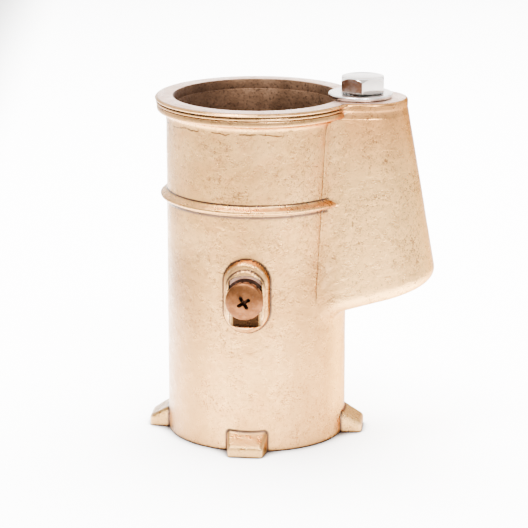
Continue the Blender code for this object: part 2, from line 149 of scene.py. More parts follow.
def rim_profile():
    """(radius, height) of the turned rim, upwards from the sleeve."""
    points = [(SLEEVE - 6, H - 8.0), (SLEEVE - 0.02, H - 6.6)]
    points += arc_points(SLEEVE + 2.3, H - 6.4, 2.3, 180, 103, 8)
    points += arc_points(29.0, H - 3.5, 0.75, -65, 0, 5)
    points += [(29.75, H - 2.55), (29.6, H - 2.36), (29.3, H - 2.28), (29.3, H - 2.14)]
    points += [(29.6, H - 2.06)]
    points += arc_points(29.6, H - 1.72, 0.38, -40, 40, 4)
    points += [(29.6, H - 1.38), (29.3, H - 1.30), (29.3, H - 1.16), (29.75, H - 1.06)]
    points += arc_points(29.85, H - 0.55, 0.42, -60, 0, 3)
    points += arc_points(29.45, H - 0.75, 0.75, 15, 88, 7)
    return points


def rib_profile():
    """(radius, height) of the rib: soft shoulder above, abrupt underside."""
    z = RIB_Z / MM
    points = [(SLEEVE - 6, z - 3.0), (SLEEVE - 0.02, z - 2.2), (SLEEVE + 0.06, z - 1.6)]
    points += [(SLEEVE + 0.3, z - 1.15), (28.2, z - 0.98)]
    points += arc_points(28.1, z - 0.25, 0.68, -70, 45, 8)
    points += [(27.5, z + 0.95), (27.1, z + 1.25), (SLEEVE - 0.02, z + 1.7), (SLEEVE - 6, z + 2.4)]
    return points


def radius_at(z, profile):
    heights = [p[1] for p in profile]
    return np.interp(z, heights, [p[0] for p in profile], left=SLEEVE - 6, right=profile[-1][0])


RIM = rim_profile()
RIB = rib_profile()


def boss_step(x, y, z, step):
    """One upright step of the boss, with round ends and a rounded front edge."""
    half_width, low, high, face, radius = BOSS_STEPS[step]
    middle, straight = (low + high) / 2, (high - low) / 2 - half_width
    rise = np.maximum(np.abs(z - middle) - straight, 0)
    side = np.hypot(x, rise) - half_width + 0.12 * (-y - SLEEVE)
    return np.where(y < 0, round_and(side, -y - face, radius), 50.0)


def lug(x, y, z, angle):
    along = x * math.cos(angle) + y * math.sin(angle)
    across = -x * math.sin(angle) + y * math.cos(angle)
    side = np.abs(across) - (LUG_HALF - LUG_DRAFT * (along - SLEEVE))
    top = (z - (LUG_TOP - LUG_SLOPE * (along - SLEEVE))) * LUG_LEAN
    shape = round_and(round_and(side, top, 1.0), along - LUG_R / MM, 0.6)
    shape = round_and(shape, -z - 0.1, 0.5)
    return np.where(along > 0, shape, 50.0)


def casting(x, y, z):
    """Signed distance to the casting's outside, in mm."""
    radial = np.hypot(x, y)
    foot_round = np.maximum(0.5 - z, 0) ** 2 * 1.4
    body = radial - SLEEVE + foot_round
    wall = tongue(x, y, pocket_half(z), pocket_end(z))
    floor = (pocket_floor(x) - z) * FLOOR_LEAN
    pocket = round_and(round_and(wall, floor, POCKET_ROUND), z - (H - 1.2), 0.2)
    body = soft_union(body, pocket, POCKET_FLARE)
    body = soft_union(body, radial - radius_at(z, RIB), 0.35)
    body = soft_union(body, radial - radius_at(z, RIM), 0.25)
    plan = soft_union(radial - LIP_R, tongue(x, y, TONGUE_HALF / MM, TONGUE_END / MM), NECK_FLARE)
    lip = round_and(round_and(plan, z - H, 0.8), H - LIP_DEPTH - z, 0.7)
    body = soft_union(body, lip, 0.35)
    body = soft_union(body, boss_step(x, y, z, 0), 0.3)
    body = soft_union(body, boss_step(x, y, z, 1), 0.2)
    for k in range(4):
        body = soft_union(body, lug(x, y, z, k * math.pi / 2), 0.4)
    return body


def junctions(x, y, z):
    """1 in the corners where lugs, boss and rib meet what they stand on, 0 away from them; painted shade goes
    there.
    """
    sleeve = np.abs(np.hypot(x, y) - SLEEVE)
    lower, upper = boss_step(x, y, z, 0), boss_step(x, y, z, 1)
    above_rib = z - RIB_Z / MM

    def corner(a, b):
        return np.clip(1 - np.maximum(np.abs(a), np.abs(b)) / 0.8, 0, 1)

    marks = [corner(sleeve, lower), corner(sleeve, above_rib + 1.9), corner(sleeve, (above_rib - 1.7) * 2)]
    # the painted shade line between the boss's steps fades towards its foot
    marks += [corner(lower, upper) * np.clip((z - BOSS_Z / MM - 2) / 4, 0.35, 1)]
    marks += [corner(sleeve, lug(x, y, z, k * math.pi / 2)) for k in range(4)]
    return np.max(marks, axis=0)


# ------------------------------------------------------------ the casting's outside
def graded(stops):
    """Values from (start, stop, step) stretches, joined without repeats."""
    values = []
    for start, stop, step in stops:
        count = max(1, round((stop - start) / step))
        values += list(np.linspace(start, stop, count, endpoint=False))
    return values + [stops[-1][1]]


def casting_angles():
    """Directions round the bore, close together at lug edges, boss and pocket."""
    side = graded([(0, 9, 1.0), (9, 14.5, 0.6), (14.5, 31, 1.1), (31, 43, 0.5), (43, 74, 2.0),
                   (74, 80.5, 0.65), (80.5, 99.5, 2.0), (99.5, 106, 0.65), (106, 164, 2.1),
                   (164, 171, 0.65), (171, 180, 2.2)])
    # the boss is on the -Y side, where the samples stay close together throughout
    boss_side = graded([(0, 9, 1.0), (9, 14.5, 0.6), (14.5, 31, 1.1), (31, 43, 0.5), (43, 72, 2.0),
                        (72, 108, 0.5), (108, 164, 2.1), (164, 171, 0.65), (171, 180, 2.2)])
    angles = side[:-1] + [360 - a for a in reversed(boss_side[1:])]
    return np.radians(np.array(angles))


def casting_heights():
    """Heights of the rings, close together at every edge."""
    rim = [p[1] for p in RIM if p[1] > H - 6.7]
    rib = graded([(71.2, 75.6, 0.17)])
    values = graded([(0, 0.5, 0.17), (0.5, 9.5, 0.42), (9.5, 35.5, 1.7), (35.5, 60.5, 0.42),
                     (60.5, 71.2, 1.3)])[:-1]
    values += rib[:-1] + graded([(75.6, H - 6.7, 1.4)])[:-1] + rim + [H]
    values = sorted(values)
    kept = [values[0]]
    for value in values[1:]:
        if value - kept[-1] > 0.045:
            kept.append(value)
    kept[-1] = H                     # the last ring is the top face, exactly
    return np.array(kept)


def outermost(angles, heights):
    """Radius of the casting in each direction at each height."""
    cos, sin = np.cos(angles)[None, :], np.sin(angles)[None, :]
    z = np.minimum(heights, H - 0.004)[:, None]
    shape = (len(heights), len(angles))
    step = 0.6
    found = np.full(shape, 20.0)
    open_rays = np.ones(shape, bool)
    for t in np.arange(MAX_RADIUS, 20, -step):
        inside = open_rays & (casting(t * cos, t * sin, z) < 0)
        found[inside] = t
        open_rays &= ~inside
        if not open_rays.any():
            break
    low, high = found, found + step
    for _ in range(12):
        middle = (low + high) / 2
        inside = casting(middle * cos, middle * sin, z) < 0
        low = np.where(inside, middle, low)
        high = np.where(inside, high, middle)
    return (low + high) / 2


def crease(angles, heights, radius):
    """A fine groove where the pocket's fillet starts on the sleeve, as an inset."""
    z = heights[:, None]
    reach = np.clip((pocket_half(z) + CREASE_OFFSET) / SLEEVE, 0, 1)
    turn = np.abs(np.angle(np.exp(1j * angles)))[None, :]
    distance = (turn - np.arcsin(reach)) * SLEEVE
    strength = 0.2 * np.exp(-(distance / 0.16) ** 2)
    strength *= np.clip((z - 44) / 4, 0, 1) * np.clip((H - 7 - z) / 2, 0, 1)
    return strength * (radius < SLEEVE + 1.2)


def waviness(points):
    """Slow unevenness of a sand casting, in mm."""
    scale = 1 / 9.0
    return np.array([noise.noise(Vector(p) * scale) * 0.07 + noise.noise(Vector(p) * scale * 3.1) * 0.025
                     for p in points])


def casting_outside():
    """The outside as one closed mesh: rings of equal length with two flat ends."""
    angles, heights = casting_angles(), casting_heights()
    radius = outermost(angles, heights)
    radius -= crease(angles, heights, radius)
    cos, sin = np.cos(angles)[None, :], np.sin(angles)[None, :]
    grid = np.stack([radius * cos, radius * sin, np.broadcast_to(heights[:, None], radius.shape)], -1)
    flat = grid.reshape(-1, 3)
    bump = waviness(flat).reshape(radius.shape)
    calm = np.clip((H - 5.2 - heights) / 2, 0, 1) * np.clip(heights / 1.5, 0, 1)
    bump = bump * calm[:, None]
    grid[..., 0] += bump * cos
    grid[..., 1] += bump * sin
    columns = len(angles)
    points = grid.reshape(-1, 3) * MM + np.array(BORE_AXIS)
    vertices = np.clip(points, np.array(BODY_LOW), np.array(BODY_HIGH))
    faces = []
    for i in range(len(heights) - 1):
        for j in range(columns):
            k = (j + 1) % columns
            low, high = i * columns, (i + 1) * columns
            faces.append((low + j, low + k, high + k, high + j))
    faces.append(tuple(range(columns))[::-1])
    faces.append(tuple((len(heights) - 1) * columns + j for j in range(columns)))
    return vertices, faces


# ------------------------------------------------------------ mesh helpers
def mesh_object(name, vertices, faces, smooth=True):
    mesh = bpy.data.meshes.new(name)
    mesh.from_pydata([tuple(v) for v in vertices], [], faces)
    mesh.update()
    obj = bpy.data.objects.new(name, mesh)
    bpy.context.scene.collection.objects.link(obj)
    bm = bmesh.new()
    bm.from_mesh(mesh)
    bmesh.ops.recalc_face_normals(bm, faces=bm.faces)
    bm.to_mesh(mesh)
    bm.free()
    if smooth:
        mesh.shade_smooth()
    return obj


def turned(name, profile, steps, closed=False):
    """Turn (radius, height) points in mm about the bore's axis.
    An open profile starts and ends on the axis; a closed one is a ring."""
    vertices, faces, rings = [], [], []
    for radius, height in profile:
        if radius == 0:
            rings.append([len(vertices)])
            vertices.append(Vector((0, 0, height)) * MM)
            continue
        rings.append(list(range(len(vertices), len(vertices) + steps)))
        for i in range(steps):
            a = 2 * math.pi * i / steps
            vertices.append(Vector((radius * math.cos(a), radius * math.sin(a), height)) * MM)
    pairs = list(zip(rings[:-1], rings[1:])) + ([(rings[-1], rings[0])] if closed else [])
    for low, high in pairs:
        for i in range(steps):
            j = (i + 1) % steps
            if len(low) == 1:
                faces.append((low[0], high[j], high[i]))
            elif len(high) == 1:
                faces.append((low[i], low[j], high[0]))
            else:
                faces.append((low[i], low[j], high[j], high[i]))
    return mesh_object(name, vertices, faces)


def loft(name, rings):
    """Skin equal-length closed rings in mm about the bore's axis, capped at both ends."""
    count = len(rings[0])
    vertices = [Vector(p) * MM for ring in rings for p in ring]
    faces = []
    for k in range(len(rings) - 1):
        for i in range(count):
            j = (i + 1) % count
            low, high = k * count, (k + 1) * count
            faces.append((low + i, low + j, high + j, high + i))
    faces.append(tuple(range(count))[::-1])
    faces.append(tuple((len(rings) - 1) * count + i for i in range(count)))
    return mesh_object(name, vertices, faces)


def to_bore(obj):
    """Move a piece that was laid out about the bore's axis into its place."""
    obj.data.transform(Matrix.Translation(BORE_AXIS) @ obj.matrix_world)
    obj.matrix_world = Matrix.Identity(4)
    return obj


def apply_boolean(target, other, operation):
    """Cut or join another object into the target's mesh and remove that object."""
    mod = target.modifiers.new("cut", 'BOOLEAN')
    mod.operation = operation
    mod.solver = 'EXACT'
    mod.object = other
    bpy.context.view_layer.update()
    graph = bpy.context.evaluated_depsgraph_get()
    mesh = bpy.data.meshes.new_from_object(target.evaluated_get(graph))
    target.modifiers.clear()
    old = target.data
    target.data = mesh
    bpy.data.meshes.remove(old)
    bpy.data.objects.remove(other, do_unlink=True)


def shade(obj, degrees=38):
    obj.data.shade_smooth()
    obj.data.set_sharp_from_angle(angle=degrees * DEG)


# ------------------------------------------------------------ the casting's inside
def bore_cutter():
    mouth, bore, ledge = MOUTH_R / MM, BORE_R / MM, LEDGE_R / MM
    profile = [(0, -6), (ledge + 0.5, -6), (ledge + 0.5, 0), (ledge, 0.5), (ledge, LEDGE_TOP / MM - 0.6)]
    profile += [(ledge + 0.6, LEDGE_TOP / MM), (bore - 0.4, LEDGE_TOP / MM), (bore, LEDGE_TOP / MM + 0.4)]
    profile += [(bore, z) for z in np.linspace(10, H - MOUTH_DEPTH / MM - 6, 12)]
    profile += [(bore, H - MOUTH_DEPTH / MM - 0.15), (bore + 0.08, H - MOUTH_DEPTH / MM)]
    profile += [(mouth, H - MOUTH_DEPTH / MM), (mouth, H - 0.35), (mouth + 0.12, H - 0.1), (mouth + 0.35, H)]
    profile += [(mouth + 0.35, H + 6), (0, H + 6)]
    return to_bore(turned("bore_cutter", profile, 160))


def cavity_cutter():
    """The wedge's space: sloping end wall, drafted sides and a sloping floor."""
    wall, top, rounding = WALL / MM, H - ROOF / MM, 2.0

    def outline(z, inset):
        half = pocket_half(z) - wall - inset
        end = pocket_end(z) - wall - inset
        nose = arc_points(end - half, 0, half, -90, 90, 40)
        return [(14.0, -half)] + nose + [(14.0, half)]

    def ring(share, inset, rise):
        points = []
        for i in range(len(outline(top, 0))):
            z = top
            for _ in range(4):
                x, y = outline(z, inset)[i]
                z = top + (pocket_floor(x) + wall + rise - top) * share
            points.append((x, y, z))
        return points

    rings = [ring(0, 1.0 * (1 - math.sin(a)), 0) for a in np.radians((0, 45, 90))]
    for i, drop in enumerate((0, -0.3, -1.0)):
        rings[i] = [(x, y, z + drop) for x, y, z in rings[i]]
    rings += [ring(k / 8, 0, rounding) for k in range(1, 9)]
    for k in range(1, 6):
        a = math.pi / 2 * k / 5
        rings.append(ring(1, rounding * (1 - math.cos(a)), rounding * (1 - math.sin(a))))
    return to_bore(loft("cavity_cutter", rings))


def slot_cutter():
    """The slot in the pocket's roof: the bolt creeps along it as the wedge rises."""
    shift = WEDGE_TRAVEL * math.sin(SLIDE_ANGLE) / MM
    radius, x = SLOT_R / MM, (BOLT_X - BORE_AXIS.x) / MM

    def ring(z, grow):
        plan = arc_points(x, 0, radius + grow, -90, 90, 16)
        plan += arc_points(x - shift, 0, radius + grow, 90, 270, 16)
        return [(px, py, z) for px, py in plan]

    levels = [(H - 9, 0), (H - 0.3, 0), (H, 0.3), (H + 4, 0.3)]
    return to_bore(loft("slot_cutter", [ring(z, grow) for z, grow in levels]))


def recess_cutter():
    """The wire recess: a low arch above, square below, with a rounded edge."""
    half, foot, top, arch, corner = 4.7, 39.7, 55.1, 7.6, 0.9

    def ring(front, grow):
        spread = math.degrees(math.asin((half + grow) / (arch + grow)))
        plan = arc_points(0, top - arch, arch + grow, 90 - spread, 90 + spread, 32)
        plan += arc_points(corner - half, foot + corner, corner + grow, 180, 270, 8)
        plan += arc_points(half - corner, foot + corner, corner + grow, 270, 360, 8)
        return [(x, -front, z) for x, z in plan]

    face, floor, edge = BOSS_FACE / MM, (BOSS_FACE - RECESS_DEPTH) / MM, 0.35
    levels = [(floor, -0.25), (floor + 0.08, -0.07), (floor + 0.25, 0)]
    levels += [(face - edge * math.cos(a), edge * (1 - math.cos(a))) for a in np.radians((0, 25, 50, 75))]
    levels += [(face + 3, edge)]
    return to_bore(loft("recess_cutter", [ring(front, grow) for front, grow in levels]))


def screw_hole_cutter():
    radius, length = 2.95, 12
    hole = turned("screw_hole_cutter", [(0, 0), (radius, 0), (radius, length), (0, length)], 40)
    hole.matrix_world = Matrix.Translation((0, -20 * MM, SCREW_Z)) @ Matrix.Rotation(math.pi / 2, 4, 'X')
    return to_bore(hole)


def mark_edges(body):
    """Store how hollow and how exposed the outside is at each vertex, from its distance function."""
    mesh = body.data
    count = len(mesh.vertices)
    points, normals = np.empty(count * 3), np.empty(count * 3)
    mesh.vertices.foreach_get("co", points)
    mesh.vertices.foreach_get("normal", normals)
    points = (points.reshape(-1, 3) - np.array(BORE_AXIS)) / MM
    normals = normals.reshape(-1, 3)
    outside = np.abs(casting(*points.T)) < 0.25      # leaves out the bore, cavity and recess
    for name, reach in (("hollow", 0.9), ("edge", -0.5)):
        away = casting(*(points + reach * normals).T) / reach
        values = np.where(outside, np.clip(1 - away, 0, 1), 0)
        if name == "hollow":
            values = np.maximum(values, junctions(*points.T))
        mesh.attributes.new(name, 'FLOAT', 'POINT').data.foreach_set("value", values.astype(np.float32))


def build_casting():
    body = mesh_object("bronze_casting", *casting_outside())
    for cutter in (recess_cutter(), cavity_cutter(), slot_cutter(), screw_hole_cutter(), bore_cutter()):
        apply_boolean(body, cutter, 'DIFFERENCE')
    shade(body, 40)
    mark_edges(body)
    return body


# ------------------------------------------------------------ clamp pieces
def build_wedge():
    """The wedge casting: hollow front, round sloping back, drilled through."""
    low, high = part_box("wedge")
    foot, top = low.z / MM, high.z / MM
    rail, setback, half_width, clearance = 24.13, 1.2, 8.8, 0.4

    def outline(z, inset):
        half = half_width - inset
        back = pocket_end(top) - WALL / MM - clearance - half_width + (top - z) * math.tan(SLIDE_ANGLE)
        spread = math.degrees(math.asin(half / (rail + inset)))
        hollow = arc_points(setback, 0, rail + inset, spread, -spread, 20)
        return hollow + arc_points(back, 0, half, -90, 90, 36)

    edge = 1.2
    curve = [(edge * (1 - math.cos(a)), edge * (1 - math.sin(a))) for a in np.radians((0, 30, 60, 90))]
    levels = [(foot + rise, inset) for rise, inset in curve]
    levels += [(z, 0) for z in np.linspace(foot + 3, top - 3, 20)]
    levels += [(top - rise, inset) for rise, inset in reversed(curve)]
    wedge = to_bore(loft("bronze_wedge", [[(x, y, z) for x, y in outline(z, inset)] for z, inset in levels]))
    radius, bevel = 4.3, 0.8
    profile = [(0, foot - 5), (radius + bevel, foot - 5), (radius + bevel, foot), (radius, foot + bevel),
               (radius, top - bevel), (radius + bevel, top), (radius + bevel, top + 5), (0, top + 5)]
    hole = turned("hole_cutter", profile, 48)
    hole.matrix_world = Matrix.Translation((BOLT_X - BORE_AXIS.x, 0, 0))
    apply_boolean(wedge, to_bore(hole), 'DIFFERENCE')
    shade(wedge, 45)
    return wedge


def threaded_rod(name, radius, pitch, start, stop, steps=32):
    """A shank about Z with a helical V thread from start down to stop, in mm."""
    depth = 0.54 * pitch             # of a 60 degree thread with flats
    rows = int((start - stop) / pitch * 8)
    vertices = [Vector((0, 0, start)) * MM]
    for i in range(rows + 1):
        z = start + (stop - start) * i / rows
        for j in range(steps):
            turn = j / steps
            phase = (z / pitch - turn) % 1.0
            groove = depth * max(0.0, 1 - abs(phase - 0.5) * 2.6)
            run_out = min(1.0, (start - z) / pitch)
            tip = max(0.0, 0.8 - (z - stop)) * 0.7
            r, a = radius - groove * run_out - tip, 2 * math.pi * turn
            vertices.append(Vector((r * math.cos(a), r * math.sin(a), z)) * MM)
    vertices.append(Vector((0, 0, stop)) * MM)
    faces = [(0, 1 + (j + 1) % steps, 1 + j) for j in range(steps)]
    for i in range(rows):
        low, high = 1 + i * steps, 1 + (i + 1) * steps
        for j in range(steps):
            k = (j + 1) % steps
            faces.append((low + j, low + k, high + k, high + j))
    last = 1 + rows * steps
    faces += [(last + j, last + (j + 1) % steps, len(vertices) - 1) for j in range(steps)]
    return mesh_object(name, vertices, faces)


def build_bolt():
    """Hex bolt about its own axis: chamfered head on a washer face, threaded shank."""
    low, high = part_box("wedge_bolt")
    head_height, flats, face = 4.7, 12.5, 0.35
    shank_r, pitch, thread_start = 3.97, 25.4 / 18, -22.2
    seat = high.z / MM - head_height
    corner = flats / math.sqrt(3)
    hexagon = arc_points(0, 0, corner, BOLT_TURN, BOLT_TURN + 300, 5)
    head = loft("wedge_bolt_steel", [[(x, y, z) for x, y in hexagon] for z in (face, head_height + 1)])
    mod = head.modifiers.new("edges", 'BEVEL')
    mod.width = 0.22 * MM
    mod.segments = 3
    crown_profile = [(0, -1), (corner + 1, -1), (corner + 1, 0.9), (corner + 0.05, head_height - 1.15),
                     (flats / 2 + 0.15, head_height - 0.22), (flats / 2 - 0.05, head_height - 0.08),
                     (flats / 2 - 0.4, head_height), (0, head_height)]
    apply_boolean(head, turned("crown", crown_profile, 96), 'INTERSECT')
    washer_face = turned("washer_face", [(0, 0), (flats / 2 - 0.35, 0), (flats / 2 - 0.2, 0.12),
                                         (flats / 2 - 0.2, face + 0.4), (0, face + 0.4)], 72)
    apply_boolean(head, washer_face, 'UNION')
    profile = [(0, 1.0), (shank_r, 1.0), (shank_r, thread_start), (0, thread_start)]
    apply_boolean(head, turned("shank", profile, 48), 'UNION')
    rod = threaded_rod("rod", shank_r - 0.04, pitch, thread_start + 0.2, low.z / MM - seat)
    apply_boolean(head, rod, 'UNION')
    head.data.transform(Matrix.Translation((BOLT_X, BORE_AXIS.y, seat * MM)))
    shade(head, 32)
    return head


def build_flat_washer():
    """Stamped washer: soft upper edge, sharper lower edge, faint dish."""
    low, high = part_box("flat_washer")
    centre = Vector(((low.x + high.x) / 2, BORE_AXIS.y, 0))
    outer = (high.x - low.x) / 2 / MM
    inner, bottom, top = 4.76, low.z / MM - 0.05, high.z / MM
    profile = [(inner + 0.15, bottom), (outer - 0.12, bottom), (outer, bottom + 0.12), (outer, top - 0.38)]
    profile += arc_points(outer - 0.38, top - 0.38, 0.38, 15, 90, 5)
    profile += [((inner + outer) / 2, top - 0.015)]
    profile += arc_points(inner + 0.3, top - 0.3, 0.3, 90, 180, 4) + [(inner, bottom + 0.15)]
    washer = turned("washer_steel", profile, 128, closed=True)
    washer.data.transform(Matrix.Translation(centre))
    shade(washer, 50)
    return washer


def facing_minus_y(front_node, from_front):
    """Placement that turns +Z to face -Y, a distance in mm behind a node's front."""
    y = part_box(front_node)[0].y + from_front * MM
    return Matrix.Translation((BORE_AXIS.x, y, SCREW_Z)) @ Matrix.Rotation(math.pi / 2, 4, 'X')


def build_bonding_screw():
    """Pan head screw with a cross recess and a threaded shank."""
    head_r, head, crown, shank_r, pitch = SCREW_HEAD_R / MM, 3.0, 1.3, 2.7, 25.4 / 24
    dome = (head_r ** 2 + crown ** 2) / (2 * crown)
    profile = [(0, -0.6), (shank_r, -0.6), (shank_r, 0)]
    profile += [(head_r - 0.55, 0), (head_r - 0.1, 0.25), (head_r, 0.6)]
    for k in range(16):
        r = head_r * (1 - k / 16)
        z = head - crown + math.sqrt(dome ** 2 - r ** 2) - (dome - crown)
        soften = 0.28 * math.exp(-((head_r - r) / 0.35))
        profile.append((r - soften * 0.35, z if k else head - crown - 0.15))
    profile.append((0, head))
    screw = turned("bonding_screw_bronze", profile, 96)
    cross = [(-1.9, 0.95, 0.42), (-0.9, 1.75, 0.5), (-0.05, 2.35, 0.56), (1, 2.9, 0.75)]
    for k in range(2):
        rings = []
        for rise, reach, half in cross:
            plan = arc_points(reach - half, 0, half, -90, 90, 6)
            plan += arc_points(half - reach, 0, half, 90, 270, 6)
            rings.append([(x, y, head + rise) for x, y in plan])
        arm = loft("arm", rings)
        arm.data.transform(Matrix.Rotation(32 * DEG + k * math.pi / 2, 4, 'Z'))
        apply_boolean(screw, arm, 'DIFFERENCE')
    # the faces inside the cross take the darker second material, a painted shade
    for face in screw.data.polygons:
        across = math.hypot(face.center.x, face.center.y)
        surface = (head - crown) * MM + math.sqrt((dome * MM) ** 2 - across ** 2) - (dome - crown) * MM
        face.material_index = int(across < 2.6 * MM and 0 < face.center.z < surface - 0.12 * MM)
    rod = threaded_rod("rod", shank_r, pitch, -0.4, -6.8, 24)
    apply_boolean(screw, rod, 'UNION')
    screw.data.transform(facing_minus_y("bonding_screw", head))
    shade(screw, 35)
    return screw


def build_bonding_washer():
    """External-tooth lock washer behind the screw's head."""
    low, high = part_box("bonding_washer")
    outer, thick = (high.x - low.x) / 2 / MM, (high.y - low.y) / MM
    teeth, per_tooth, inner = 14, 12, 3.05
    steps = teeth * per_tooth
    outlines = []
    for level, edge in ((0, 0.1), (0.12, 0), (thick - 0.12, 0), (thick, 0.1)):
        ring = []
        for i in range(steps):
            phase = (i / per_tooth) % 1.0
            notch = 0.75 if 0.68 < phase < 0.98 else 0.0
            twist = 0.22 * (phase / 0.68 - 0.5) if phase < 0.68 else 0.0
            r, a = outer - edge - notch, 2 * math.pi * i / steps
            z = min(max(level + (twist if 0 < level < thick else 0), 0), thick)
            ring.append((r * math.cos(a), r * math.sin(a), z))
        outlines.append(ring)
    washer = loft("lock_washer_bronze", outlines)
    hole = turned("hole", [(0, -1), (inner, -1), (inner, thick + 1), (0, thick + 1)], 64)
    apply_boolean(washer, hole, 'DIFFERENCE')
    washer.data.transform(facing_minus_y("bonding_washer", thick))
    shade(washer, 35)
    return washer


# ------------------------------------------------------------ materials
class Nodes:
    """Short spelling for building a material's node tree."""

    def __init__(self, name):
        self.material = bpy.data.materials.new(name)
        self.material.use_nodes = True
        self.tree = self.material.node_tree
        self.shader = self.tree.nodes["Principled BSDF"]
        self.position = self.add("ShaderNodeTexCoord").outputs["Object"]

    def add(self, kind, **values):
        node = self.tree.nodes.new(kind)
        for key, value in values.items():
            setattr(node, key, value)
        return node

    def link(self, source, target):
        self.tree.links.new(source, target)

    def noise(self, scale_mm, detail=3.0, roughness=0.55, stretch=None):
        node = self.add("ShaderNodeTexNoise")
        node.inputs["Scale"].default_value = 1000.0 / scale_mm
        node.inputs["Detail"].default_value = detail
        node.inputs["Roughness"].default_value = roughness
        source = self.position
        if stretch:
            mapping = self.add("ShaderNodeMapping")
            mapping.inputs["Scale"].default_value = stretch
            self.link(source, mapping.inputs["Vector"])
            source = mapping.outputs["Vector"]
        self.link(source, node.inputs["Vector"])
        return node.outputs["Fac"]

    def remap(self, value, low, high, to_low=0.0, to_high=1.0, smooth=True):
        node = self.add("ShaderNodeMapRange", interpolation_type='SMOOTHSTEP' if smooth else 'LINEAR')
        node.inputs["From Min"].default_value = low
        node.inputs["From Max"].default_value = high
        node.inputs["To Min"].default_value = to_low
        node.inputs["To Max"].default_value = to_high
        self.link(value, node.inputs["Value"])
        return node.outputs["Result"]

    def math(self, operation, a, b):
        node = self.add("ShaderNodeMath", operation=operation)
        for socket, value in zip(node.inputs, (a, b)):
            if isinstance(value, (int, float)):
                socket.default_value = value
            else:
                self.link(value, socket)
        return node.outputs[0]

    def product(self, value, *factors):
        for factor in factors:
            value = self.math('MULTIPLY', value, factor)
        return value

    def rest(self, value):
        return self.math('SUBTRACT', 1.0, value)

    def away(self, value, middle):
        """How far a value lies from the middle one, on either side."""
        return self.math('ABSOLUTE', self.math('SUBTRACT', value, middle), 0)

    def distance(self, centre, flatten=(1, 1, 0)):
        """Distance from the line through the centre along the direction that is 0 in flatten."""
        offset = self.add("ShaderNodeVectorMath", operation='MULTIPLY_ADD')
        offset.inputs[1].default_value = flatten
        offset.inputs[2].default_value = [-c * share for c, share in zip(centre, flatten)]
        self.link(self.position, offset.inputs[0])
        length = self.add("ShaderNodeVectorMath", operation='LENGTH')
        self.link(offset.outputs[0], length.inputs[0])
        return length.outputs["Value"]

    def mix(self, factor, a, b):
        node = self.add("ShaderNodeMix", data_type='RGBA')
        for index, value in ((0, factor), (6, a), (7, b)):
            if isinstance(value, tuple):
                node.inputs[index].default_value = (*value, 1.0)
            elif isinstance(value, (int, float)):
                node.inputs[index].default_value = value
            else:
                self.link(value, node.inputs[index])
        return node.outputs[2]

    def lay(self, colour, tone, *masks):
        """A tone laid over the colour, as thick as the masks' product."""
        return self.mix(self.product(*masks), colour, tone)

    def axis(self, index):
        node = self.add("ShaderNodeSeparateXYZ")
        self.link(self.position, node.inputs[0])
        return node.outputs[index]

    def stored(self, name):
        return self.add("ShaderNodeAttribute", attribute_name=name).outputs["Fac"]

    def bump(self, height, distance_mm, strength=1.0, below=None):
        node = self.add("ShaderNodeBump")
        node.inputs["Distance"].default_value = distance_mm * MM
        node.inputs["Strength"].default_value = strength
        self.link(height, node.inputs["Height"])
        if below is not None:
            self.link(below, node.inputs["Normal"])
        return node.outputs["Normal"]

    def crevice(self, reach_mm, open_value, closed_value):
        """1 in tight corners and gaps, 0 out in the open."""
        node = self.add("ShaderNodeAmbientOcclusion", samples=8)
        node.inputs["Distance"].default_value = reach_mm * MM
        return self.remap(node.outputs["AO"], open_value, closed_value)

    def finish(self, colour, roughness, normal, metallic=1.0):
        self.link(colour, self.shader.inputs["Base Color"])
        self.link(roughness, self.shader.inputs["Roughness"])
        self.link(normal, self.shader.inputs["Normal"])
        if isinstance(metallic, float):
            self.shader.inputs["Metallic"].default_value = metallic
        else:
            self.link(metallic, self.shader.inputs["Metallic"])
        return self.material


def cast_tones(n, x, z, across, rim):
    """The casting's broad colours with painted shade and light, before grain and wear."""
    patches = n.remap(n.noise(16, 3), 0.36, 0.64)
    colour = n.mix(patches, (0.68, 0.36, 0.115), (0.80, 0.45, 0.165))
    colour = n.lay(colour, (0.68, 0.29, 0.095), n.remap(n.noise(5, 3), 0.45, 0.72), 0.35)
    colour = n.lay(colour, (0.50, 0.24, 0.085), n.remap(n.noise(1.7, 3, 0.6), 0.50, 0.66), 0.40)
    # painted shade: the sleeve is darker low down and towards its sides
    pocket = n.remap(x, BORE_AXIS.x + 22 * MM, BORE_AXIS.x + 30 * MM)
    painted_side_shade = n.math('ADD', 0.3, n.product(n.remap(across, 6 * MM, 18 * MM), 0.7))
    painted_side_shade = n.product(painted_side_shade, n.remap(z, 66 * MM, 50 * MM), n.rest(pocket))
    colour = n.lay(colour, (0.42, 0.215, 0.07), painted_side_shade)
    # painted light: the pocket is paler; painted shade: darker orange just under its lip
    colour = n.lay(colour, (1.0, 0.58, 0.21), pocket, 0.75)
    high = n.remap(z, HEIGHT - 26 * MM, HEIGHT - 3 * MM)
    # painted shade under the pocket's lip
    colour = n.lay(colour, (0.66, 0.25, 0.06), pocket, high, 0.65)
    colour = n.lay(colour, (0.48, 0.235, 0.085), rim, 0.5)
    # the lugs are a little more yellow
    outside = n.remap(n.distance(BORE_AXIS), SLEEVE_R + 0.3 * MM, SLEEVE_R + 0.8 * MM)
    return n.lay(colour, (0.50, 0.29, 0.10), outside, n.remap(z, 7.0 * MM, 6.6 * MM), 0.7)


